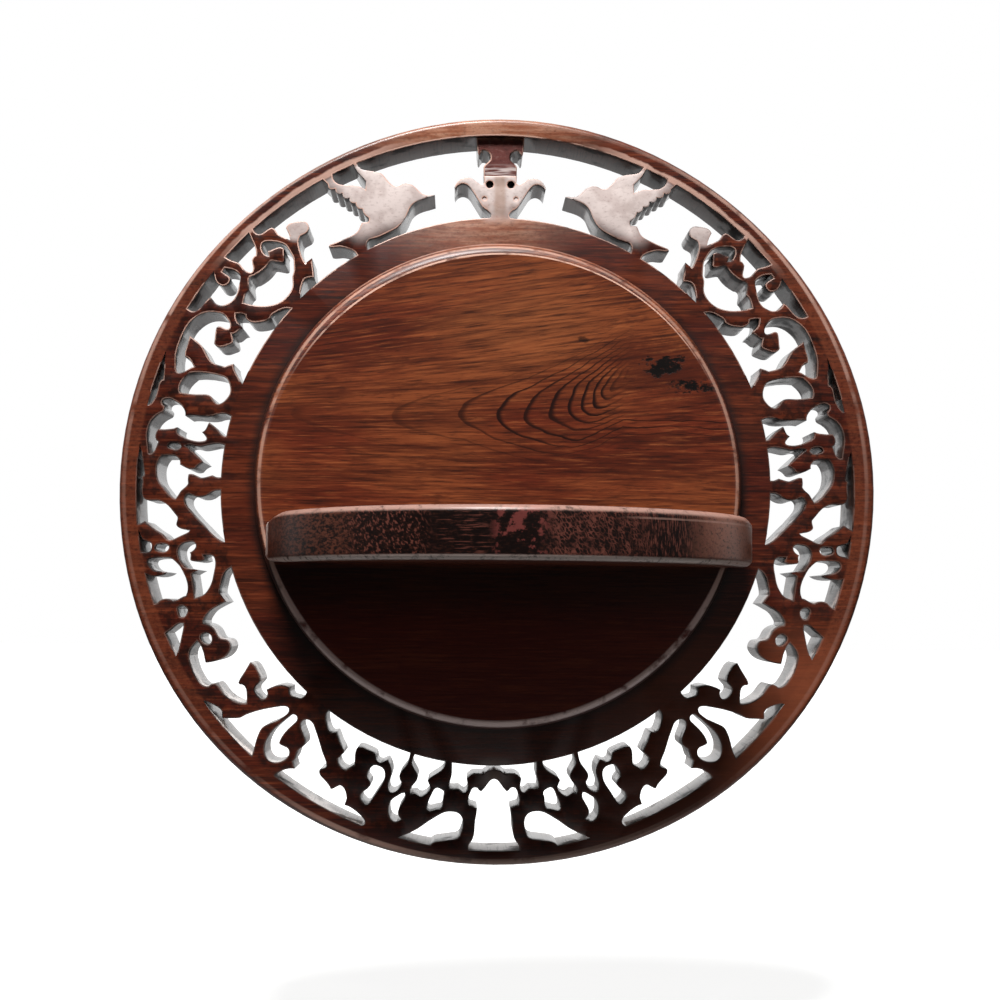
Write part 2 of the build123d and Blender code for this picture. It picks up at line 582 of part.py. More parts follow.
# Openwork panel
with BuildPart() as openwork_panel:
    with BuildSketch(front):
        Circle(panel_radius)
        for side in (1, -1):
            for outline in side_openings:
                with BuildLine():
                    draw_outline(outline, side)
                make_face(mode=Mode.SUBTRACT)
            with Locations(band_point(finial_hole_angle, finial_hole_share, side)):
                Circle(finial_hole_radius, mode=Mode.SUBTRACT)
        for outline, level in middle_openings:
            with BuildLine():
                draw_middle_outline(outline, level)
            make_face(mode=Mode.SUBTRACT)
    extrude(amount=panel_thickness)
    with BuildSketch(front.offset(panel_thickness)):
        with BuildLine():
            Polyline(band_point(crown_half_angle, 1, -1), band_point(crown_half_angle, crown_share, -1),
                     band_point(crown_half_angle, crown_share, 1), band_point(crown_half_angle, 1, 1))
            ThreePointArc(band_point(crown_half_angle, 1, 1), band_point(0, 1, 1),
                          band_point(crown_half_angle, 1, -1))
        make_face()
    extrude(amount=-crown_depth, mode=Mode.SUBTRACT)
    with BuildSketch(front.offset(panel_thickness)):
        with Locations(*[band_point(leaf_dimple_angle, leaf_dimple_share, side) for side in (1, -1)]):
            Circle(leaf_dimple_radius)
    extrude(amount=-leaf_dimple_depth, mode=Mode.SUBTRACT)
    outer_edges = openwork_panel.edges().filter_by(GeomType.CIRCLE)
    outer_edges = outer_edges.filter_by(lambda edge: abs(edge.radius - panel_radius) < 0.01)
    fillet(outer_edges.sort_by(Axis.Y)[0], radius=rim_rounding)
    chamfer(outer_edges.sort_by(Axis.Y)[-1], length=edge_easing)
    for place in shelf_screw_places:
        turned_screw(shelf_screw, place, clearance=screw_clearance, mode=Mode.SUBTRACT)
    for place in disc_screw_places:
        turned_screw(disc_screw, place, disc_screw_sink, screw_clearance, mode=Mode.SUBTRACT)
        access_hole(disc_screw, place, disc_screw_sink)
    with BuildSketch(back):
        hanger_outline(hanger_clearance)
    extrude(amount=-hanger_thickness, mode=Mode.SUBTRACT)
    with BuildSketch(back):
        keyhole_outline(pocket_margin)
    extrude(amount=-pocket_depth, mode=Mode.SUBTRACT)
    for place in hanger_screw_places:
        turned_screw(hanger_screw, place, clearance=screw_clearance, mode=Mode.SUBTRACT)

# Centre disc
with BuildPart() as centre_disc:
    with BuildSketch(front.offset(panel_thickness)):
        with Locations((disc_offset, disc_rise)):
            Circle(disc_radius)
    extrude(amount=disc_thickness)
    fillet(centre_disc.faces().sort_by(Axis.Y)[0].edges(), radius=disc_rounding)
    for place in shelf_screw_places:
        turned_screw(shelf_screw, place, clearance=screw_clearance, mode=Mode.SUBTRACT)
    for place in disc_screw_places:
        turned_screw(disc_screw, place, disc_screw_sink, screw_clearance, mode=Mode.SUBTRACT)

# Shelf board
shelf_back = panel_thickness + disc_thickness
with BuildPart() as shelf_board:
    with BuildSketch(Plane.XY.offset(-shelf_drop)):
        with Locations((shelf_offset, -shelf_back)):
            Circle(shelf_radius)
            Rectangle(3 * shelf_radius, 3 * shelf_radius, align=(Align.CENTER, Align.MIN),
                      mode=Mode.SUBTRACT)
    extrude(amount=-shelf_thickness)
    level_edges = shelf_board.edges().filter_by(Plane.XY)
    fillet(level_edges.filter_by(GeomType.CIRCLE), radius=shelf_rounding)
    for place in shelf_screw_places:
        turned_screw(shelf_screw, place, clearance=screw_clearance, mode=Mode.SUBTRACT)

# Screws
shelf_screws = screw_set(shelf_screw, shelf_screw_places)
disc_screws = screw_set(disc_screw, disc_screw_places, disc_screw_sink)
hanger_screws = screw_set(hanger_screw, hanger_screw_places)

# Hanger plate
with BuildPart() as hanger_plate:
    with BuildSketch(back):
        hanger_outline()
    extrude(amount=-hanger_thickness)
    with BuildSketch(back):
        keyhole_outline()
    extrude(amount=-hanger_thickness, mode=Mode.SUBTRACT)
    for place in hanger_screw_places:
        turned_screw(hanger_screw, place, clearance=screw_clearance, mode=Mode.SUBTRACT)

openwork_panel.part.label = "openwork_panel"
centre_disc.part.label = "centre_disc"
shelf_board.part.label = "shelf_board"
shelf_screws.part.label = "shelf_screws"
disc_screws.part.label = "disc_screws"
hanger_plate.part.label = "hanger_plate"
hanger_screws.part.label = "hanger_screws"

export_step(openwork_panel.part, "parts/openwork_panel.step")
export_step(centre_disc.part, "parts/centre_disc.step")
export_step(shelf_board.part, "parts/shelf_board.step")
export_step(shelf_screws.part, "parts/shelf_screws.step")
export_step(disc_screws.part, "parts/disc_screws.step")
export_step(hanger_plate.part, "parts/hanger_plate.step")
export_step(hanger_screws.part, "parts/hanger_screws.step")
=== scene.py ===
import math

import bpy
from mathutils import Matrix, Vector


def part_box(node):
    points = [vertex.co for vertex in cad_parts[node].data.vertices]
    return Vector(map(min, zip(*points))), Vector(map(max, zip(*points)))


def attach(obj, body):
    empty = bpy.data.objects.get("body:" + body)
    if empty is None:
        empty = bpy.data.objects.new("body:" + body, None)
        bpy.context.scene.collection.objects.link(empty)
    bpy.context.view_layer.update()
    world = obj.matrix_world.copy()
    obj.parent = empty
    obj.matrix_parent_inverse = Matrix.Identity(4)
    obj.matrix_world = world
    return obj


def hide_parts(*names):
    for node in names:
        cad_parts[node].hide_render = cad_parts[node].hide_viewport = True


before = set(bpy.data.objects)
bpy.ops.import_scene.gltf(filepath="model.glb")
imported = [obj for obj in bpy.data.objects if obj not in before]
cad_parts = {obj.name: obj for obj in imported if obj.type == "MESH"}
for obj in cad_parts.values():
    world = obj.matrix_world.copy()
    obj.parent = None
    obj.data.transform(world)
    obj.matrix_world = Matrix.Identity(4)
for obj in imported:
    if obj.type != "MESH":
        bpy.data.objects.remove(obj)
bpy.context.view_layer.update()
scene = bpy.context.scene
mm = 0.001

# Depths and a place (x and z) that several pieces share, in millimetres
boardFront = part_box("openwork_panel")[0].y / mm
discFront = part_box("centre_disc")[0].y / mm
discMiddle = (0.4, 1.1)
sameDepth = 0.01   # depths that differ by less count as the same


def workOn(piece):
    bpy.ops.object.select_all(action="DESELECT")
    piece.select_set(True)
    bpy.context.view_layer.objects.active = piece


def copyOfNode(node, name):
    piece = bpy.data.objects.new(name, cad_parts[node].data.copy())
    scene.collection.objects.link(piece)
    piece.data.materials.clear()
    workOn(piece)
    bpy.ops.object.mode_set(mode="EDIT")
    bpy.ops.mesh.select_all(action="SELECT")
    bpy.ops.mesh.remove_doubles(threshold=0.001 * mm)
    bpy.ops.object.mode_set(mode="OBJECT")
    bpy.ops.mesh.customdata_custom_splitnormals_clear()
    return piece


def depthOf(place):
    return place.y / mm


def smoothStep(value, low, high):
    share = min(max((value - low) / (high - low), 0), 1)
    return share * share * (3 - 2 * share)


# Rounds the sharp outward edges that lie at one depth and gives the new faces the material slot. Where two
# edges meet in a thin tip they stay sharp, because their rounded strips would cross. Angles are in degrees.
def easeEdgesAt(piece, depth, width, segments, slot, inside=None, thinTip=60, leastTurn=40):
    mesh = piece.data
    workOn(piece)
    bpy.ops.object.mode_set(mode="EDIT")
    bpy.ops.mesh.select_mode(type="EDGE")
    bpy.ops.mesh.select_all(action="DESELECT")
    bpy.ops.object.mode_set(mode="OBJECT")
    faces = [[] for _ in mesh.edges]
    meeting = {}
    for face in mesh.polygons:
        for key in face.loop_indices:
            faces[mesh.loops[key].edge_index].append(face)
    for edge, sides in zip(mesh.edges, faces):
        ends = [mesh.vertices[v] for v in edge.vertices]
        level = all(abs(depthOf(end.co) - depth) < sameDepth for end in ends)
        if level and len(sides) == 2 and sides[0].normal.angle(sides[1].normal) > math.radians(leastTurn):
            outward = (sides[1].center - sides[0].center).dot(sides[0].normal) < 0
            middle = (ends[0].co + ends[1].co) / 2
            edge.select = outward and (inside is None or inside(middle))
            if edge.select:
                for end, other in (ends, reversed(ends)):
                    meeting.setdefault(end.index, []).append((edge, other.co - end.co))
    for pair in meeting.values():
        if len(pair) == 2 and pair[0][1].angle(pair[1][1]) < math.radians(thinTip):
            pair[0][0].select = pair[1][0].select = False
    bpy.ops.object.mode_set(mode="EDIT")
    bpy.ops.mesh.bevel(offset=width * mm, segments=segments, profile=0.6, clamp_overlap=False,
                       material=slot, loop_slide=False)
    bpy.ops.object.mode_set(mode="OBJECT")


# Gives a material slot to the faces for which chosen is true.
def paintFaces(piece, slot, chosen):
    for face in piece.data.polygons:
        if chosen(face):
            face.material_index = slot


# Shades the faces smoothly but keeps the faces at the given depths flat.
def smoothFaces(piece, angle, flatDepths=()):
    workOn(piece)
    bpy.ops.object.shade_smooth_by_angle(angle=math.radians(angle))
    mesh = piece.data
    flat = [0] * len(mesh.edges)
    for face in mesh.polygons:
        depths = [depthOf(mesh.vertices[v].co) for v in face.vertices]
        listed = any(abs(depth - flatDepth) < sameDepth for flatDepth in flatDepths for depth in depths)
        if listed and all(abs(depth - depthOf(face.center)) < sameDepth for depth in depths):
            for key in face.loop_indices:
                flat[mesh.loops[key].edge_index] += 1
    for edge, sides in zip(mesh.edges, flat):
        if sides == 1:
            edge.use_edge_sharp = True


class Wire:
    # one output of a material's nodes; sums and products of wires add Math nodes
    def __init__(self, shader, socket):
        self.shader = shader
        self.socket = socket

    def maths(self, operation, *values):
        return self.shader.add("ShaderNodeMath", {"operation": operation}, dict(enumerate(values)))

    def __add__(self, other):
        return self.maths("ADD", self, other)

    def __radd__(self, other):
        return self.maths("ADD", other, self)

    def __sub__(self, other):
        return self.maths("SUBTRACT", self, other)

    def __rsub__(self, other):
        return self.maths("SUBTRACT", other, self)

    def __mul__(self, other):
        return self.maths("MULTIPLY", self, other)

    def __rmul__(self, other):
        return self.maths("MULTIPLY", other, self)

    def __truediv__(self, other):
        return self.maths("DIVIDE", self, other)

    def __pow__(self, other):
        return self.maths("POWER", self, other)


class Shader:
    def __init__(self, name):
        self.material = bpy.data.materials.new(name)
        self.material.use_nodes = True
        self.tree = self.material.node_tree
        self.tree.nodes.clear()

    # adds any node: its settings first, then the values or wires of its sockets
    def add(self, kind, settings=None, inputs=None, output=0):
        node = self.tree.nodes.new(kind)
        for key, value in (settings or {}).items():
            setattr(node, key, value)
        for key, value in (inputs or {}).items():
            if isinstance(value, Wire):
                self.tree.links.new(value.socket, node.inputs[key])
            else:
                node.inputs[key].default_value = value
        return Wire(self, node.outputs[output]) if node.outputs else None

    def point(self):
        place = self.add("ShaderNodeTexCoord", output="Object")
        return self.stretch(place, (1000, 1000, 1000))

    def stretch(self, vector, factors):
        return self.add("ShaderNodeVectorMath", {"operation": "MULTIPLY"}, {0: vector, 1: factors})

    def parts(self, vector):
        return [self.add("ShaderNodeSeparateXYZ", None, {0: vector}, axis) for axis in (0, 1, 2)]

    def vector(self, x, y, z):
        return self.add("ShaderNodeCombineXYZ", None, {0: x, 1: y, 2: z})

    def noise(self, vector, detail=4, roughness=0.55):
        return self.add("ShaderNodeTexNoise", None, {"Vector": vector, "Scale": 1, "Detail": detail,
                        "Roughness": roughness})

    # 0 below low, 1 above high, smooth between; low may be the larger one
    def fade(self, value, low, high):
        return self.add("ShaderNodeMapRange", {"interpolation_type": "SMOOTHSTEP", "clamp": True},
                        {0: value, 1: low, 2: high, 3: 0, 4: 1})

    def mix(self, share, first, second):
        return self.add("ShaderNodeMix", {"data_type": "RGBA", "clamp_factor": True},
                        {0: share, 6: first, 7: second}, 2)

    def bump(self, height, distance, strength=0.5):
        return self.add("ShaderNodeBump", None, {"Height": height, "Distance": distance * mm,
                        "Strength": strength})

    def surface(self, **sockets):
        named = {key.replace("_", " "): value for key, value in sockets.items()}
        skin = self.add("ShaderNodeBsdfPrincipled", None, named)
        self.add("ShaderNodeOutputMaterial", None, {"Surface": skin})
        return self.material


def colour(red, green, blue):
    # a colour as it looks on a screen, 0 to 255, as the linear value that a shader takes
    def linear(value):
        value = value / 255
        return value / 12.92 if value <= 0.04045 else ((value + 0.055) / 1.055) ** 2.4
    return (linear(red), linear(green), linear(blue), 1)


# Rosewood with its grain along x: broad drifts of colour, growth lines, fibre and pores. rings is a wire
# that counts the growth lines across the surface. Gives the colour, the height for the bump, and the fibre.
def rosewood(shader, point, look, rings):
    drift = shader.noise(shader.stretch(point, look["driftScale"]), 3)
    fibre = shader.noise(shader.stretch(point, (0.05, 1.1, 1.1)), 6, 0.65)
    streak = shader.noise(shader.stretch(point, (0.014, 0.32, 0.32)), 4, 0.6)
    blotch = shader.noise(shader.stretch(point, (0.09, 0.25, 0.25)), 4, 0.6)
    pores = shader.fade(shader.noise(shader.stretch(point, (0.14, 2.3, 2.3)), 2), 0.6, 0.7)
    count = rings.maths("FRACT", rings)
    lines = shader.fade(count, 0.6, 0.88) * shader.fade(count, 1, 0.92) * shader.fade(streak, 0.35, 0.55)
    tone = shader.mix(shader.fade(drift, 0.38, 0.62), look["warm"], look["red"])
    tone = shader.mix(shader.fade(streak, 0.42, 0.62) * look["streak"], tone, look["deep"])
    tone = shader.mix(shader.fade(blotch, 0.52, 0.72) * look["blotch"], tone, look["deep"])
    tone = shader.mix(shader.fade(fibre, 0.48, 0.3) * look["glint"], tone, look["light"])
    tone = shader.mix(lines * look["lines"], tone, look["dark"])
    tone = shader.mix(shader.fade(fibre, 0.46, 0.68) * look["fibre"], tone, look["dark"])
    tone = shader.mix(pores * look["pores"], tone, look["dark"])
    height = fibre * 0.5 - pores * 0.3 - lines * 0.2
    return tone, height, fibre


def lengthOf(shader, across, depth, up):
    place = shader.vector(across, depth, up)
    return shader.add("ShaderNodeVectorMath", {"operation": "LENGTH"}, {0: place}, 1)


boardLook = dict(
    warm=colour(90, 38, 20), red=colour(70, 23, 12), deep=colour(46, 14, 8), dark=colour(18, 7, 5),
    light=colour(126, 66, 42), driftScale=(0.012, 0.03, 0.05), streak=0.6, blotch=0.75, lines=0.4,
    fibre=0.7, glint=0.45, pores=0.6, lineRate=0.11, lineWave=2.2,
    # pale tones for the birds and leaves, a painted sheen mixed with wear, a painted highlight mixed with
    # wear, and painted shade
    palePart=colour(198, 184, 179), dusk=colour(136, 114, 108), sheenAndWear=colour(186, 136, 110),
    sheenAndWearDeep=colour(146, 88, 62), wearAndHighlight=colour(196, 158, 142), paintedShade=colour(26, 16, 14),
    crown=colour(104, 58, 54), stem=colour(144, 112, 92), wall=colour(96, 64, 52),
    # painted light makes the lower walls pale
    lowWallPaintedLight=colour(224, 214, 208), wallDark=colour(26, 16, 14),
    roughness=0.27, edgeRoughness=0.32, wallRoughness=0.3, wallCoatRoughness=0.14,
    specular=0.35, wallSpecular=0.1, bumpDepth=0.05, sawDepth=0.2,
    edgeWidth=0.5, backEdgeWidth=0.25, wallsBetween=(110, 151), loweredBy=3, backFrom=112, smoothAngle=20,
    # Where marks lie: heights, radii and places (x and z) in millimetres, and turns from the top in radians.
    # The first of a pair is where a mark starts or ends, and the second is where it is full.
    frontFrom=(-18.5, -19), bandFrom=(110.5, 112.5), bandTo=(146, 144.5),
    sheenAndWearPlace=(-8, 135), sheenAndWearReach=(58, 12), paintedLightAcross=(20, 80), paintedLightUp=(-45, -75),
    birdTurn=(0.56, 0.47), birdFrom=(111.6, 119), birdTo=(145, 143.2), bud=(83, 106), budReach=(7.5, 4.5),
    soleSide=(9, 3), soleFrom=(107, 114), soleTo=(122, 117), stemSide=(3.4, 1.2),
    crownTurn=(0.09, 0.085), crownFrom=(128.2, 128.5), crownTo=(145, 143), crownFoot=(134.5, 131),
    borderFrom=(0.2, 0.42), borderTo=(0.95, 0.72), innerWearAndHighlight=145.2, outerWearAndGleamFrom=(149.3, 150),
    outerWearAndGleamTo=(151.6, 150.6), lowGleam=(-120, -146), besideFrom=(144.5, 146), besideSide=(95, 130),
    cornerReach=(102.8, 98.6), cornerUp=(96, 60),
)


# The board's colour, its height for the bump, and its fibre
def boardTone(shader, point, across, depth, up):
    look = boardLook
    wave = shader.noise(shader.stretch(point, (0.02, 0.03, 0.05)), 2)
    tone, height, fibre = rosewood(shader, point, look, up * look["lineRate"] + wave * look["lineWave"])
    side = across.maths("ABSOLUTE", across)
    turn = side.maths("ARCTAN2", side, up)
    reach = lengthOf(shader, across, 0, up)
    front = shader.fade(depth, *look["frontFrom"])
    patchy = shader.noise(shader.stretch(point, (0.1, 0.1, 0.1)), 3)
    speck = shader.noise(shader.stretch(point, (0.5, 0.5, 0.9)), 5, 0.7)
    # a painted sheen, mixed with wear, on the front of the ring and the rim at the top
    crown = shader.fade(turn, *look["crownTurn"]) * shader.fade(reach, *look["crownFrom"])
    belowRim = shader.fade(reach, *look["crownTo"])
    sheenX, sheenZ = look["sheenAndWearPlace"]
    sheenAndWear = shader.fade(lengthOf(shader, across - sheenX, 0, up - sheenZ), *look["sheenAndWearReach"]) * front
    sheenAndWear = sheenAndWear * (1 - crown * belowRim)
    smear = shader.noise(shader.stretch(point, (0.07, 0.5, 0.6)), 4, 0.6)
    sheenAndWearTone = shader.mix(shader.fade(smear, 0.38, 0.62), look["sheenAndWearDeep"], look["sheenAndWear"])
    tone = shader.mix(sheenAndWear * shader.fade(speck, 0.1, 0.6) * 0.8, tone, sheenAndWearTone)
    # the openwork is mottled darker, except at the lower right, which gets a painted pool of light
    band = shader.fade(reach, *look["bandFrom"]) * shader.fade(reach, *look["bandTo"])
    mottle = shader.noise(shader.stretch(point, (0.3, 0.3, 0.3)), 4, 0.6)
    paintedLight = shader.fade(across, *look["paintedLightAcross"]) * shader.fade(up, *look["paintedLightUp"])
    tone = shader.mix(band * shader.fade(mottle, 0.45, 0.62) * (1 - paintedLight) * 0.65, tone, look["dark"])
    tone = shader.mix(paintedLight * front * 0.55, tone, look["light"])
    # the birds, a bud beside each of them and the finial's leaves are pale and finely mottled
    palePart = (shader.fade(turn, *look["birdTurn"]) * shader.fade(reach, *look["birdFrom"])
             * shader.fade(reach, *look["birdTo"]) * front)
    budX, budZ = look["bud"]
    bud = shader.fade(lengthOf(shader, side - budX, 0, up - budZ), *look["budReach"]) * front * band
    palePart = palePart.maths("MAXIMUM", palePart, bud * 0.8)
    paleMottle = shader.mix(shader.fade(speck, 0.5, 0.72) * 0.6, look["palePart"], look["dusk"])
    paleMottle = shader.mix(shader.fade(patchy, 0.45, 0.6) * 0.35, paleMottle, look["dusk"])
    sole = (shader.fade(side, *look["soleSide"]) * shader.fade(reach, *look["soleFrom"])
            * shader.fade(reach, *look["soleTo"]) * front)
    palePart = palePart.maths("MAXIMUM", palePart, sole * 0.8)
    tone = shader.mix(palePart * (1 - crown) * shader.fade(speck, 0.05, 0.35), tone, paleMottle)
    # the crown is pink and brown, with pale rings at its foot; a tan stem parts the leaves below it
    rings = shader.noise(shader.vector(across * 0.08, 0, up * 0.9), 2)
    foot = shader.fade(reach, *look["crownFoot"]) * shader.fade(rings, 0.42, 0.6)
    tone = shader.mix(crown * front * belowRim * 0.6, tone, look["crown"])
    tone = shader.mix(crown * front * shader.fade(speck, 0.5, 0.68) * 0.5, tone, look["dark"])
    tone = shader.mix(crown * front * shader.fade(speck, 0.45, 0.3) * 0.35, tone, look["dusk"])
    tone = shader.mix(crown * front * foot * 0.8, tone, look["palePart"])
    stem = shader.fade(side + speck * 2 - 1, *look["stemSide"]) * palePart * (1 - crown)
    tone = shader.mix(stem * 0.55, tone, look["stem"])
    # painted highlights mixed with wear along the rim: a line on its rounding, strongest at the top and at
    # the bottom, where it is a painted reflection, and broad pale patches by its inner edge
    border = shader.fade(turn, *look["borderFrom"]) * shader.fade(turn, *look["borderTo"])
    width = patchy * 3 + look["innerWearAndHighlight"]
    inner = shader.fade(reach - width, 0.9, 0) * shader.fade(reach, 144, 145) * border
    low = shader.fade(up, *look["lowGleam"])
    outer = shader.fade(reach + low, *look["outerWearAndGleamFrom"]) * shader.fade(reach, *look["outerWearAndGleamTo"])
    strength = shader.fade(up, -10, 90) * shader.fade(up, 148, 110) * 0.45 + low * 0.65 + 0.12
    # the rim's sides get painted light
    beside = shader.fade(reach, *look["besideFrom"]) * shader.fade(side, *look["besideSide"])
    tone = shader.mix(beside * shader.fade(speck, 0.3, 0.6) * front * 0.35, tone, look["light"])
    wear = inner * 0.75 + outer * strength * shader.fade(patchy, 0.25, 0.5)
    tone = shader.mix(wear * front, tone, look["wearAndHighlight"])
    # painted shade in the corner round the disc
    discX, discZ = discMiddle
    corner = shader.fade(lengthOf(shader, across - discX, 0, up - discZ), *look["cornerReach"])
    corner = corner * shader.fade(up, *look["cornerUp"])
    return shader.mix(corner * front * 0.8, tone, look["paintedShade"]), height, fibre


def boardSkin():
    look = boardLook
    shader = Shader("rosewoodBoard")
    point = shader.point()
    tone, height, fibre = boardTone(shader, point, *shader.parts(point))
    return shader.surface(Base_Color=tone, Roughness=look["roughness"] + fibre * 0.1,
                          Normal=shader.bump(height, look["bumpDepth"]), Specular_IOR_Level=look["specular"])


# The eased edges of the openings and the rim: a painted highlight mixed with wear at the top, mostly on the
# left, and painted shade below
def boardEdgeSkin():
    look = boardLook
    shader = Shader("boardEdgeWearAndPaintedLight")
    point = shader.point()
    across, depth, up = shader.parts(point)
    tone, height, fibre = boardTone(shader, point, across, depth, up)
    wear = shader.noise(shader.stretch(point, (0.12, 0.12, 0.12)), 4)
    high = shader.fade(up, 10, 95) * (1 - shader.fade(across, -20, 50) * 0.6)
    tone = shader.mix(shader.fade(wear, 0.65, 0.4) * (1 - high) * 0.8, tone, look["dark"])
    tone = shader.mix(shader.fade(wear, 0.35, 0.5) * (high * 0.85 + 0.1), tone, look["wearAndHighlight"])
    return shader.surface(Base_Color=tone, Roughness=look["edgeRoughness"] + wear * 0.15,
                          Normal=shader.bump(height, look["bumpDepth"]))


# The sawn walls of the openings: lacquer over upright saw marks, pale at the bottom with painted light,
# grimy in patches, with painted shade just behind the front and on the right, where it has lost its gloss
def boardWallSkin():
    look = boardLook
    shader = Shader("sawnBoardWall")
    point = shader.point()
    across, depth, up = shader.parts(point)
    saw = shader.noise(shader.stretch(point, (1.1, 0.05, 1.1)), 4, 0.6)
    dirt = shader.noise(shader.stretch(point, (0.12, 0.1, 0.12)), 4)
    shady = shader.fade(across, 20, 90) * shader.fade(up, -50, 0) * 0.06
    shade = shader.fade(dirt + shader.fade(depth, -13, -21.5) * 0.2 + shady, 0.56, 0.74)
    wall = shader.mix(shader.fade(up, -20, -110), look["wall"], look["lowWallPaintedLight"])
    tone = shader.mix(shade * 0.85, wall, look["wallDark"])
    tone = shader.mix(shader.fade(saw, 0.5, 0.7) * 0.35, tone, look["wallDark"])
    return shader.surface(Base_Color=tone, Roughness=look["wallRoughness"] + saw * 0.2,
                          Normal=shader.bump(saw, look["sawDepth"]), Specular_IOR_Level=look["wallSpecular"],
                          Coat_Weight=1 - shade * 0.8, Coat_Roughness=look["wallCoatRoughness"])


# How a hand saw strayed, in millimetres, as waves of the angle from the top: outward and turning shifts
# of the openwork band, and the shift of the rim's outer edge. The rim's inner border hardly moves.
handSaw = dict(
    outward=(0.04, (-0.71, -0.38), (-0.1, 0.42), (-0.16, -0.11)),
    turning=(-0.16, (-0.11, 1.37), (0.37, -0.13)),
    outline=(0, (-0.28, 0.44), (-0.69, 0.28), (0.53, -0.07), (0, 0), (0.25, 0.14)),
    bandFrom=(104, 112), bandTo=(141, 147.5), rimFrom=(146, 149.5),
)


# Adds up a constant and then the cosine and sine share of the turn, twice the turn and so on.
def waves(terms, turn):
    return terms[0] + sum(cosine * math.cos((n + 1) * turn) + sine * math.sin((n + 1) * turn)
                          for n, (cosine, sine) in enumerate(terms[1:]))


def strayLikeHandSaw(piece):
    saw = handSaw
    for vertex in piece.data.vertices:
        x, z = vertex.co.x / mm, vertex.co.z / mm
        radius, turn = math.hypot(x, z), math.atan2(x, z)
        band = smoothStep(radius, *saw["bandFrom"]) * (1 - smoothStep(radius, *saw["bandTo"]))
        rim = smoothStep(radius, *saw["rimFrom"])
        radius += band * waves(saw["outward"], turn) + rim * waves(saw["outline"], turn)
        turn += band * waves(saw["turning"], turn) / max(radius, 1)
        vertex.co.x, vertex.co.z = radius * math.sin(turn) * mm, radius * math.cos(turn) * mm


def makeBoard():
    look = boardLook
    piece = copyOfNode("openwork_panel", "openworkBoard")
    for skin in (boardSkin(), boardEdgeSkin(), boardWallSkin()):
        piece.data.materials.append(skin)
    inner, outer = look["wallsBetween"]
    edgeSlot, wallSlot = 1, 2

    def inOpening(face):
        return abs(face.normal.y) < 0.7 and inner * mm < face.center.length < outer * mm

    def inBand(middle):
        return middle.length > look["backFrom"] * mm

    paintFaces(piece, wallSlot, inOpening)
    easeEdgesAt(piece, boardFront, look["edgeWidth"], 2, edgeSlot)
    easeEdgesAt(piece, boardFront + look["loweredBy"], look["edgeWidth"], 1, edgeSlot)
    easeEdgesAt(piece, 0, look["backEdgeWidth"], 1, edgeSlot, inBand)
    strayLikeHandSaw(piece)
    smoothFaces(piece, look["smoothAngle"])
    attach(piece, "root")
    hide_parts("openwork_panel")
    print("made the openwork board:", len(piece.data.polygons), "faces")


discLook = dict(
    warm=colour(118, 60, 32), red=colour(94, 37, 20), deep=colour(64, 24, 13), dark=colour(26, 9, 6),
    light=colour(150, 86, 50), driftScale=(0.01, 0.03, 0.028), streak=0.7, blotch=0.6, lines=0,
    # the two pale colours on this line are painted highlights mixed with wear, the palest a painted
    # reflection
    fibre=0.8, glint=0.6, pores=0.7, wearAndHighlight=colour(206, 164, 144), wearAndGleam=colour(238, 206, 198),
    knot=colour(10, 6, 5), lowRed=colour(112, 30, 22), golden=colour(150, 88, 50),
    roughness=0.26, edgeDullness=0.16, edgeCoatRoughness=0.25, specular=0.35, bumpDepth=0.06,
    radius=98, rounding=4.5, edgeRings=12, edgeWaves=(0.88, (0.22, -0.02), (0.14, -0.11), (-0.02, -0.07)),
    smoothAngle=35,
    # the growth lines: the middle of their points, the curve that these lie on, and how they spread
    grainMiddle=(51.5, 46), axisDrop=17, axisReach=30, leftSpread=(1.2, 0.035), upSpread=(0.8, 0.012),
    lowSpread=0.8, lowLean=0.8, archPoint=2, lineStep=1.9, lean=0.14, leanUp=(10, 60),
    lineWidth=0.74, lineThinning=0.054, leastLine=0.14, strongLines=(12, 8.5),
    goldenPlace=(8, 66), goldenReach=(30, 5), redUp=(-30, -60), shelfShadeFrom=(-62, -38), shelfShadeTo=(-30, -34),
    knotPlace=(67, 49), knotSize=(14, 7.5), haloSize=(19, 10), crackPlace=(77, 41.3), crackSize=(17, 4.5),
    spotPlace=(33.8, 59.2), spotSize=(3, 1.8),
    borderAt=95.7, borderWidth=0.9, secondBorder=1.6, dullFrom=(93.8, 94.8),
)


# Counts the growth lines of long arches that open to the right. Their points lie on a curve that falls
# to the left of the grain's middle and then runs level.
def archCount(shader, point, across, up):
    look = discLook
    middleX, middleZ = look["grainMiddle"]
    bend = shader.noise(shader.stretch(point, (0.016, 0.03, 0.03)), 3)
    curl = shader.noise(shader.stretch(point, (0.06, 0.1, 0.14)), 2)
    right = across - middleX + (bend - 0.5) * 14
    rise = up - middleZ + (bend - 0.5) * 7 + (curl - 0.5) * 3
    left = right.maths("MAXIMUM", right * -1, 0)
    fall = left / -look["axisReach"]
    above = rise + (1 - fall.maths("EXPONENT", fall)) * look["axisDrop"]
    over = above.maths("MAXIMUM", above, 0)
    low = above.maths("MAXIMUM", above * -1, 0)
    left = left.maths("MAXIMUM", left - low * look["lowLean"], 0)

    def thin(distance, spread):
        return distance / (distance * spread[1] + spread[0])

    power = look["archPoint"]
    height = thin(over, look["upSpread"]) + low * look["lowSpread"]
    spread = (thin(left, look["leftSpread"]) ** power + height ** power) ** (1 / power)
    # right of the middle only the lowest lines go on
    reaching = 1 - shader.fade(right, -11, 3) * shader.fade(low, 20, 14)
    return spread / look["lineStep"], reaching


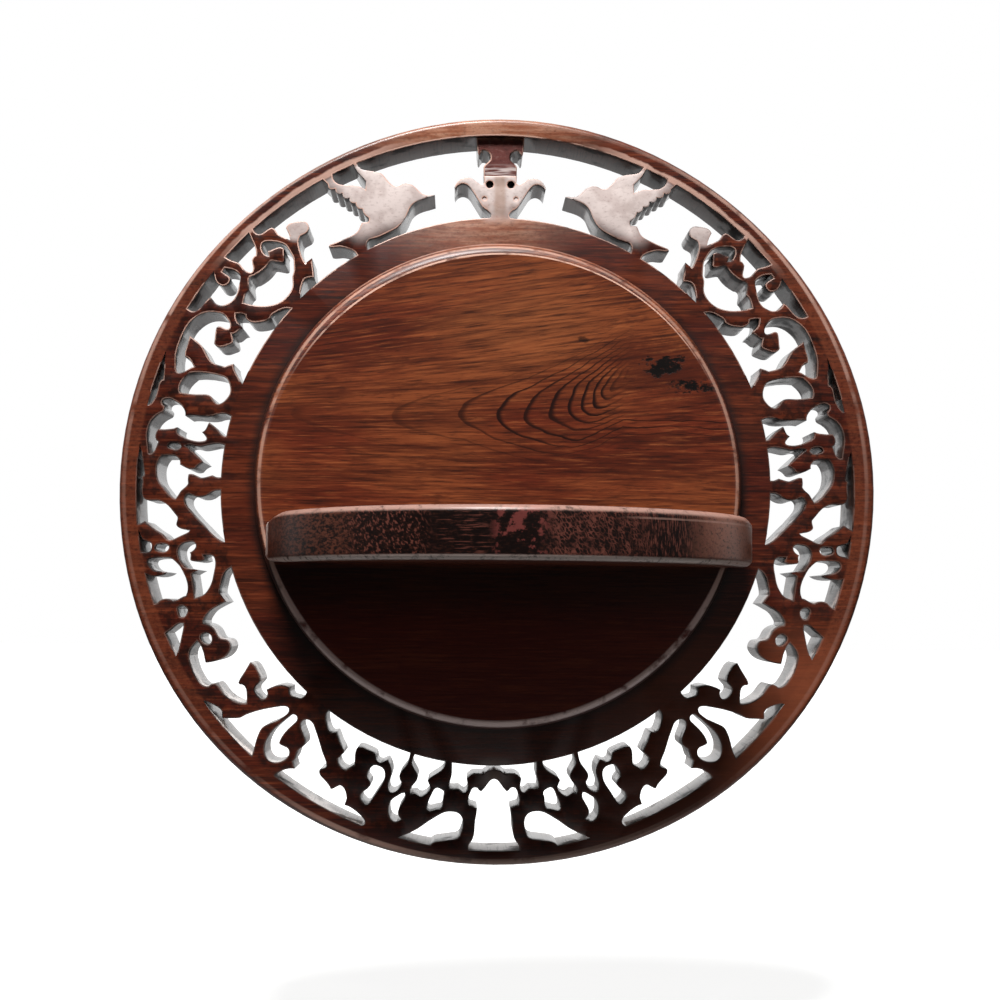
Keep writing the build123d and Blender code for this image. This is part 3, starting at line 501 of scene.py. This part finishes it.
# A black knot with cracks, a smaller crack below it and a dark spot, and the halo round the knot
def discKnot(shader, point, across, up):
    look = discLook
    ragged = shader.noise(shader.stretch(point, (0.22, 0.35, 0.4)), 5, 0.7)

    def patch(place, size, low, high):
        gap = lengthOf(shader, (across - place[0]) / size[0], 0, (up - place[1]) / size[1])
        return shader.fade(gap + ragged * 2.6 - 1.3, high, low)

    halo = patch(look["knotPlace"], look["haloSize"], 0.5, 1.3)
    knot = patch(look["knotPlace"], look["knotSize"], 0.35, 0.6)
    knot = knot.maths("MAXIMUM", knot, patch(look["crackPlace"], look["crackSize"], 0.3, 0.6))
    return knot.maths("MAXIMUM", knot, patch(look["spotPlace"], look["spotSize"], 0.4, 1.1) * 0.75), halo


# The disc's colour, its height for the bump, its fibre, the patches of its wear, and how much lacquer
# lies on the painted highlight line at the bottom
def discTone(shader, point, across, depth, up, reach):
    look = discLook
    leaning = shader.vector(across, depth, up - across * look["lean"] * shader.fade(up, *look["leanUp"]))
    count, reaching = archCount(shader, point, across, up)
    tone, height, fibre = rosewood(shader, leaning, look, count)
    # the disc draws its own growth lines: thin and dark near the grain's middle, each with its own strength
    part = count.maths("FRACT", count)
    width = part.maths("MAXIMUM", look["lineWidth"] - count * look["lineThinning"], look["leastLine"])
    within = (1 - part) / width
    line = shader.fade(within, 1, 0.35) * shader.fade(within, 0, 0.15)
    own = shader.noise(shader.vector((count - part) * 0.37 + across * 0.01, 0, up * 0.01), 1)
    close = (shader.fade(count, *look["strongLines"]) * 0.7 + 0.3) * (reaching * 0.85 + 0.15)
    tone = shader.mix(line * shader.fade(own, 0.25, 0.55) * close, tone, look["dark"])
    goldX, goldZ = look["goldenPlace"]
    gold = shader.fade(lengthOf(shader, (across - goldX) * 0.6, 0, up - goldZ), *look["goldenReach"])
    tone = shader.mix(gold * shader.fade(fibre, 0.7, 0.4) * 0.4, tone, look["golden"])
    # the lower part is redder, and has painted shadow just under the shelf
    tone = shader.mix(shader.fade(up, *look["redUp"]) * 0.45, tone, look["lowRed"])
    paintedShade = shader.fade(up, *look["shelfShadeFrom"]) * shader.fade(up, *look["shelfShadeTo"])
    tone = shader.mix(paintedShade * 0.75, tone, look["dark"])
    knot, halo = discKnot(shader, point, across, up)
    tone = shader.mix(halo * 0.6, tone, look["deep"])
    # the rounded edge gets a painted highlight line mixed with wear, widest at the bottom, where it is a
    # painted reflection, and painted shade outside it
    cosine = (up - discMiddle[1]) / reach
    lower = shader.fade(cosine, -0.2, -0.6)
    width = look["borderWidth"] - shader.fade(cosine, 0.55, 0.9) * 0.25 + lower * 0.8
    off = reach - look["borderAt"]
    border = shader.fade(off.maths("ABSOLUTE", off) / width, 1, 0.45)
    farther = off - look["secondBorder"]
    second = shader.fade(farther.maths("ABSOLUTE", farther), 0.55, 0.2) * shader.fade(cosine, 0.6, 0.85)
    wear = shader.noise(shader.stretch(point, (0.13, 0.13, 0.13)), 4)
    rim = shader.fade(off, 0.6, 1.6) * shader.fade(cosine, 0.75, 0.5)
    tone = shader.mix(rim * 0.8, tone, look["dark"])
    pale = border.maths("MAXIMUM", border, second * 0.6) * shader.fade(wear, 0.28, 0.5)
    side = shader.fade(across, 10, 40) * shader.fade(cosine, 0.5, 0.7)
    strength = shader.fade(cosine, -0.1, -0.5) * 0.64 + shader.fade(cosine, 0.4, 0.8) * 0.14
    wearAndHighlight = shader.mix(lower, look["wearAndHighlight"], look["wearAndGleam"])
    tone = shader.mix(pale * (strength + 0.36 - side * 0.2), tone, wearAndHighlight)
    return shader.mix(knot, tone, look["knot"]), height - knot, fibre, wear, pale * lower


def discSkin():
    look = discLook
    shader = Shader("rosewoodDisc")
    point = shader.point()
    across, depth, up = shader.parts(point)
    reach = lengthOf(shader, across - discMiddle[0], 0, up - discMiddle[1])
    tone, height, fibre, _, lacquer = discTone(shader, point, across, depth, up, reach)
    dull = shader.fade(reach, *look["dullFrom"]) * look["edgeDullness"]
    return shader.surface(Base_Color=tone, Roughness=look["roughness"] + fibre * 0.1 + dull,
                          Normal=shader.bump(height, look["bumpDepth"]), Specular_IOR_Level=look["specular"],
                          Coat_Weight=lacquer, Coat_Roughness=look["edgeCoatRoughness"])


# The inner corner of the rounded edge, with a painted highlight mixed with wear in the upper half
def discCornerSkin():
    look = discLook
    shader = Shader("discCornerWearAndHighlight")
    point = shader.point()
    across, depth, up = shader.parts(point)
    reach = lengthOf(shader, across - discMiddle[0], 0, up - discMiddle[1])
    tone, height, fibre, wear, _ = discTone(shader, point, across, depth, up, reach)
    strength = shader.fade(up, 40, 75) * shader.fade(wear, 0.3, 0.5)
    tone = shader.mix(strength * 0.85, tone, look["wearAndHighlight"])
    return shader.surface(Base_Color=tone, Roughness=look["roughness"] + fibre * 0.1 + look["edgeDullness"],
                          Normal=shader.bump(height, look["bumpDepth"]), Specular_IOR_Level=look["specular"])


# Selects the edges with one face whose ends both lie at one of the depths, and stays in edit mode.
def selectOpenBorder(piece, depths):
    mesh = piece.data
    count = [0] * len(mesh.edges)
    for loop in mesh.loops:
        count[loop.edge_index] += 1
    bpy.ops.object.mode_set(mode="EDIT")
    bpy.ops.mesh.select_mode(type="EDGE")
    bpy.ops.mesh.select_all(action="DESELECT")
    bpy.ops.object.mode_set(mode="OBJECT")
    for edge, sides in zip(mesh.edges, count):
        ends = [depthOf(mesh.vertices[v].co) for v in edge.vertices]
        level = any(all(abs(end - depth) < sameDepth for end in ends) for depth in depths)
        edge.select = sides == 1 and level
    bpy.ops.object.mode_set(mode="EDIT")


# Models the rounding and the side of the disc anew, as even rings: on the solid's copy their triangles
# are uneven and show in the gloss.
def roundDiscEdge(piece):
    look = discLook
    middle = Vector((discMiddle[0] * mm, 0, discMiddle[1] * mm))
    rounding, rings = look["rounding"], look["edgeRings"]
    corner = look["radius"] - rounding
    workOn(piece)
    bpy.ops.object.mode_set(mode="EDIT")
    bpy.ops.mesh.select_mode(type="FACE")
    bpy.ops.mesh.select_all(action="DESELECT")
    bpy.ops.object.mode_set(mode="OBJECT")
    for face in piece.data.polygons:
        reach = math.hypot(face.center.x - middle.x, face.center.z - middle.z) / mm
        face.select = reach > corner + 0.01 and discFront < depthOf(face.center) < boardFront - sameDepth
    bpy.ops.object.mode_set(mode="EDIT")
    bpy.ops.mesh.delete(type="FACE")
    bpy.ops.object.mode_set(mode="OBJECT")
    selectOpenBorder(piece, (discFront,))
    radius, depth = corner, 0
    for ring in range(1, rings + 1):
        turn = math.pi / 2 * ring / rings
        nextRadius, nextDepth = corner + rounding * math.sin(turn), rounding * (1 - math.cos(turn))
        bpy.ops.mesh.extrude_region_move(TRANSFORM_OT_translate={"value": (0, (nextDepth - depth) * mm, 0)})
        share = nextRadius / radius
        bpy.ops.transform.resize(value=(share, 1, share), center_override=middle)
        radius, depth = nextRadius, nextDepth
    bpy.ops.object.mode_set(mode="OBJECT")
    selectOpenBorder(piece, (discFront + rounding, boardFront))
    bpy.ops.mesh.bridge_edge_loops()
    bpy.ops.mesh.select_all(action="SELECT")
    bpy.ops.mesh.normals_make_consistent(inside=False)
    bpy.ops.object.mode_set(mode="OBJECT")


# Makes the rounded edge wider at the top and narrower at the sides and the bottom.
def waveDiscEdge(piece):
    look = discLook
    middleX, middleZ = discMiddle
    for vertex in piece.data.vertices:
        x, z = vertex.co.x / mm - middleX, vertex.co.z / mm - middleZ
        radius = math.hypot(x, z)
        inward = look["radius"] - radius
        if inward <= look["rounding"] + 0.05 and depthOf(vertex.co) < discFront + look["rounding"] + 0.05:
            share = waves(look["edgeWaves"], math.atan2(x, z))
            scale = (look["radius"] - inward * share) / radius
            vertex.co.x = (middleX + x * scale) * mm
            vertex.co.z = (middleZ + z * scale) * mm
            vertex.co.y = (discFront + (depthOf(vertex.co) - discFront) * share) * mm


def makeDisc():
    look = discLook
    piece = copyOfNode("centre_disc", "discBoard")
    piece.data.materials.append(discSkin())
    piece.data.materials.append(discCornerSkin())
    middle = Vector((discMiddle[0] * mm, 0, discMiddle[1] * mm))
    corner = look["radius"] - look["rounding"]
    cornerSlot = 1
    roundDiscEdge(piece)

    def besideCorner(face):
        reach = math.hypot(face.center.x - middle.x, face.center.z - middle.z) / mm
        return depthOf(face.center) < discFront + 0.04 and reach > corner + 0.05

    paintFaces(piece, cornerSlot, besideCorner)
    waveDiscEdge(piece)
    smoothFaces(piece, look["smoothAngle"], (discFront,))
    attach(piece, "root")
    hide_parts("centre_disc")
    print("made the centre disc:", len(piece.data.polygons), "faces")


shelfLook = dict(
    warm=colour(112, 56, 32), red=colour(90, 37, 22), deep=colour(62, 24, 15), dark=colour(26, 10, 8),
    light=colour(142, 84, 56), driftScale=(0.012, 0.02, 0.05), streak=0.6, blotch=0.5, lines=0.5,
    fibre=0.6, glint=0.4, pores=0.5, lineRate=0.16, lineWave=2.2, slant=0.35,
    # the two pale colours on this line are painted highlights mixed with wear, the palest also painted light
    wearAndHighlight=colour(182, 142, 128), wearAndGleam=colour(236, 214, 204), fleck=colour(96, 54, 45),
    soaked=colour(14, 6, 5), redPatch=colour(96, 46, 42), smooth=colour(84, 46, 34),
    rightEnd=colour(136, 86, 68), roughness=0.27, specular=0.25, bumpDepth=0.08,
    # the figure of the front from left to right: where each kind lies, and how softly it ends
    plainLeft=(-45, -62), plainRight=(62, 78), paleRight=(62, 82), dashes=(-56, -27, 5), level=(-22, -4, 4),
    redAt=(-3, 15, 3), net=(15, 50, 5), upright=(47, 78, 6),
    frontFrom=(92.4, 94.6), curvedFrom=(-30.5, -32), upperEdge=(-15.7, -14.6), lowerEdge=(-30, -30.9),
    secondLine=-17, secondFrom=(38, 52), endFrom=(92.2, 93.4),
    middle=(4.5, -30), smoothAngle=35,
    # each end: its side, how far from the middle the taper starts and is full, and how much it takes off
    ends=((-1, 83, 95.8, 2.4), (1, 87, 95.8, 1.2)),
)


# The curved front is end grain soaked nearly black. Its figure changes from left to right.
def shelfFrontTone(shader, across, depth, up, wear, fine):
    look = shelfLook

    def between(low, high, soft):
        return shader.fade(across, low - soft, low + soft) * shader.fade(across, high + soft, high - soft)

    dashes = shader.noise(shader.vector(across * 1.1 + up * 0.5, depth * 1.1, up * 0.75), 3, 0.55)
    level = shader.noise(shader.vector(across * 0.14, depth * 0.14, up * 2), 3, 0.5)
    upright = shader.noise(shader.vector(across * 2, depth * 2, up * 0.3), 4, 0.6)
    stray = shader.noise(shader.vector(across, depth, up), 3) * 1.6
    leaning = shader.vector(across + up * 0.7 + stray, depth, up * 0.7 + stray)
    cells = shader.add("ShaderNodeTexVoronoi", {"feature": "DISTANCE_TO_EDGE"},
                       {"Vector": leaning, "Scale": 0.8, "Randomness": 0.9})
    wood = shader.mix(shader.fade(fine, 0.5, 0.8) * 0.55, look["soaked"], look["smooth"])
    plain = shader.fade(across, *look["plainLeft"]) + shader.fade(across, *look["plainRight"])
    wood = shader.mix(plain * shader.fade(fine, 0.42, 0.58) * 0.95, wood, look["smooth"])
    paleRight = shader.fade(across, *look["paleRight"]) * shader.fade(fine, 0.3, 0.5)
    wood = shader.mix(paleRight * 0.9, wood, look["rightEnd"])
    wood = shader.mix(between(*look["dashes"]) * shader.fade(dashes, 0.53, 0.63) * 0.9, wood, look["fleck"])
    wood = shader.mix(between(*look["level"]) * shader.fade(level, 0.56, 0.66) * 0.7, wood, look["fleck"])
    hot = shader.fade(wear + shader.fade(up, -28, -17) * 0.08, 0.54, 0.62)
    wood = shader.mix(between(*look["redAt"]) * hot, wood, look["redPatch"])
    net = shader.fade(cells, 0.2, 0.02) * shader.fade(wear, 0.35, 0.6)
    wood = shader.mix(between(*look["net"]) * net, wood, look["fleck"])
    return shader.mix(between(*look["upright"]) * shader.fade(upright, 0.5, 0.6), wood, look["fleck"])


def shelfSkin():
    look = shelfLook
    shader = Shader("rosewoodShelf")
    point = shader.point()
    across, depth, up = shader.parts(point)
    wave = shader.noise(shader.stretch(point, (0.02, 0.03, 0.05)), 2)
    lines = (up + depth * look["slant"]) * look["lineRate"] + wave * look["lineWave"]
    tone, height, fibre = rosewood(shader, point, look, lines)
    middleX, middleY = look["middle"]
    beside = across - middleX
    reach = lengthOf(shader, beside, depth - middleY, 0)
    front = shader.fade(reach, *look["frontFrom"]) * shader.fade(depth, *look["curvedFrom"])
    wear = shader.noise(shader.stretch(point, (0.3, 0.3, 0.3)), 5, 0.65)
    fine = shader.noise(shader.vector(across * 0.5, depth * 0.5, up * 1.1), 5, 0.7)
    tone = shader.mix(front, tone, shelfFrontTone(shader, across, depth, up, wear, fine))
    # its edges carry painted highlights mixed with wear: above, below as a painted reflection, a second line
    # at the upper right, and upright at both ends as painted light
    upper = shader.fade(up, *look["upperEdge"])
    lower = shader.fade(up, *look["lowerEdge"])
    off = up - look["secondLine"]
    second = shader.fade(off.maths("ABSOLUTE", off), 0.5, 0.2) * shader.fade(across, *look["secondFrom"])
    end = shader.fade(beside.maths("ABSOLUTE", beside), *look["endFrom"])
    levelLines = upper.maths("MAXIMUM", upper, lower)
    pale = levelLines.maths("MAXIMUM", levelLines, end.maths("MAXIMUM", end, second * 0.6))
    wearAndHighlight = shader.mix(lower.maths("MAXIMUM", lower, end), look["wearAndHighlight"], look["wearAndGleam"])
    share = (lower * 0.3 + end * 0.15 + 0.6) * shader.fade(wear, 0.25, 0.5)
    tone = shader.mix(pale * front * share, tone, wearAndHighlight)
    return shader.surface(Base_Color=tone, Roughness=look["roughness"] + fibre * 0.1,
                          Normal=shader.bump(height + front * fine * 0.5, look["bumpDepth"]),
                          Specular_IOR_Level=look["specular"])


# Sands the ends of the shelf thinner, the left end more than the right one, and mostly from above.
def taperShelfEnds(piece):
    look = shelfLook
    low, high = [corner.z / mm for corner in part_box("shelf_board")]
    height, halfThick = (low + high) / 2, (high - low) / 2
    for vertex in piece.data.vertices:
        beside = vertex.co.x / mm - look["middle"][0]
        for side, start, stop, depth in look["ends"]:
            share = (vertex.co.z / mm - height) / halfThick
            taken = depth if share > 0 else depth / 2
            vertex.co.z -= smoothStep(beside * side, start, stop) * share * taken * mm


def makeShelf():
    look = shelfLook
    piece = copyOfNode("shelf_board", "halfRoundShelf")
    piece.data.materials.append(shelfSkin())
    taperShelfEnds(piece)
    smoothFaces(piece, look["smoothAngle"])
    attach(piece, "root")
    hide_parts("shelf_board")
    print("made the shelf:", len(piece.data.polygons), "faces")


metalLook = dict(
    brass=colour(190, 148, 78), brassDark=colour(120, 86, 44), steel=colour(150, 150, 152),
    steelDark=colour(96, 96, 98), brassRoughness=0.28, steelRoughness=0.32, brushDepth=0.05, brushing=0.4,
)


def metalSkin(name, light, dark, roughness):
    look = metalLook
    shader = Shader(name)
    point = shader.point()
    stain = shader.noise(shader.stretch(point, (0.25, 0.25, 0.25)), 4)
    brush = shader.noise(shader.stretch(point, (4, 4, 0.2)), 3)
    tone = shader.mix(shader.fade(stain, 0.3, 0.75) * 0.7, light, dark)
    rough = roughness + stain * 0.15 + brush * 0.08
    return shader.surface(Base_Color=tone, Metallic=1, Roughness=rough,
                          Normal=shader.bump(brush, look["brushDepth"], look["brushing"]))


def finishFasteners():
    look = metalLook
    brass = metalSkin("agedBrass", look["brass"], look["brassDark"], look["brassRoughness"])
    steel = metalSkin("screwSteel", look["steel"], look["steelDark"], look["steelRoughness"])
    for node, skin in (("hanger_plate", brass), ("hanger_screws", brass), ("disc_screws", steel),
                       ("shelf_screws", steel)):
        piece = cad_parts[node]
        piece.data.materials.clear()
        piece.data.materials.append(skin)
    print("finished the screws and the hanger")


stageLook = dict(
    floorLevel=-0.235, floorSize=12, floorColour=(0.8, 0.8, 0.79, 1), floorBounce=(0.05, 0.05, 0.05, 1),
    floorGlow=0.62, farGlow=0.38, glowFrom=0.35, glowTo=1, behindGlow=0.35, nearGlow=(0.4, 0.2),
    keyPlace=(-0.2, -0.85, 1.3), keySize=0.6, keyPower=52,
    fillPlace=(0.9, -1.4, 0.3), fillSize=1.4, fillPower=0.8,
    frontLight=0.015, backLight=0.9, sideGloss=0.2, steepGloss=0.45, glossyLoss=0.8, aim=(0, -0.02, 0),
)


def addLamp(name, place, size, power):
    bpy.ops.object.light_add(type="AREA", location=place)
    lamp = bpy.context.object
    lamp.name = name
    lamp.data.shape = "DISK"
    lamp.data.size = size
    lamp.data.energy = power
    lamp.rotation_euler = (Vector(stageLook["aim"]) - Vector(place)).to_track_quat("-Z", "Y").to_euler()


# The floor looks white, darkens under the object's shadow, and throws little light back at it.
# Glossy surfaces see it white near the object and pale behind it.
def floorSkin():
    look = stageLook
    shader = Shader("paleFloor")
    seen = shader.add("ShaderNodeLightPath", output="Is Camera Ray")
    glossy = shader.add("ShaderNodeLightPath", output="Is Glossy Ray")
    place = shader.add("ShaderNodeTexCoord", output="Object")
    away = shader.add("ShaderNodeVectorMath", {"operation": "LENGTH"}, {0: place}, 1)
    strength = look["floorGlow"] + look["farGlow"] * shader.fade(away, look["glowFrom"], look["glowTo"])
    pale = shader.add("ShaderNodeBsdfDiffuse", None, {"Color": look["floorColour"]})
    dull = shader.add("ShaderNodeBsdfDiffuse", None, {"Color": look["floorBounce"]})
    glow = shader.add("ShaderNodeEmission", None, {"Strength": strength})
    backward = shader.fade(shader.parts(place)[1], 0.3, 0.9) * look["behindGlow"]
    gleam = backward.maths("MAXIMUM", backward, shader.fade(away, *look["nearGlow"]))
    nearGlow = shader.add("ShaderNodeEmission", None, {"Strength": glossy * gleam})
    camera = shader.add("ShaderNodeAddShader", None, {0: pale, 1: glow})
    others = shader.add("ShaderNodeAddShader", None, {0: dull, 1: nearGlow})
    both = shader.add("ShaderNodeMixShader", None, {0: seen, 1: others, 2: camera})
    shader.add("ShaderNodeOutputMaterial", None, {"Surface": both})
    return shader.material


class WorldShader(Shader):
    # the same tools for the nodes of a new world
    def __init__(self, name):
        world = bpy.data.worlds.new(name)
        scene.world = world
        world.use_nodes = True
        self.tree = world.node_tree
        self.tree.nodes.clear()


# The world is white where it is seen. As a light it is a white backdrop behind the object, and glossy
# surfaces see a dimmer white at the sides, above and below too.
def makeWorld():
    look = stageLook
    shader = WorldShader("whiteStudio")
    seen = (shader.add("ShaderNodeLightPath", output="Is Camera Ray")
            + shader.add("ShaderNodeLightPath", output="Is Transmission Ray"))
    glossy = shader.add("ShaderNodeLightPath", output="Is Glossy Ray")
    _, heading, rise = shader.parts(shader.add("ShaderNodeTexCoord", output="Generated"))
    behind = shader.fade(heading, -0.1, 0.4) * (look["backLight"] - look["frontLight"]) + look["frontLight"]
    steep = shader.fade(rise.maths("ABSOLUTE", rise), 0.15, 0.5) * look["steepGloss"] + look["sideGloss"]
    around = shader.fade(heading, -0.75, -0.35) * glossy * steep * look["backLight"]
    behind = behind * (1 - glossy * shader.fade(heading, 0.8, 0.2) * look["glossyLoss"])
    strength = seen.maths("MAXIMUM", seen, behind.maths("MAXIMUM", behind, around))
    backdrop = shader.add("ShaderNodeBackground", None, {"Color": (1, 1, 1, 1), "Strength": strength})
    shader.add("ShaderNodeOutputWorld", None, {"Surface": backdrop})


def makeStage():
    look = stageLook
    bpy.ops.object.select_all(action="DESELECT")
    addLamp("keyLamp", look["keyPlace"], look["keySize"], look["keyPower"])
    addLamp("fillLamp", look["fillPlace"], look["fillSize"], look["fillPower"])
    bpy.ops.mesh.primitive_plane_add(size=look["floorSize"], location=(0, 0, look["floorLevel"]))
    floor = bpy.context.object
    floor.name = "floor"
    floor.data.materials.append(floorSkin())
    makeWorld()
    print("made the stage")


# The photo's viewpoint: its place in millimetres and its turns about x, y and z in degrees
cameraLook = dict(
    place=(-14.547, -649.92, -47.03), turns=(93.8133, -0.4958, -1.4583), lens=56.017, sensor=36,
)


def makeCamera():
    look = cameraLook
    turns = [math.radians(turn) for turn in look["turns"]]
    bpy.ops.object.camera_add(location=Vector(look["place"]) * mm, rotation=turns)
    camera = bpy.context.object
    camera.name = "photoCamera"
    camera.data.sensor_width = look["sensor"]
    camera.data.lens = look["lens"]
    camera.data.clip_start = 0.01
    scene.camera = camera
    scene.view_settings.view_transform = "Standard"


makeCamera()
makeBoard()
makeDisc()
makeShelf()
finishFasteners()
makeStage()
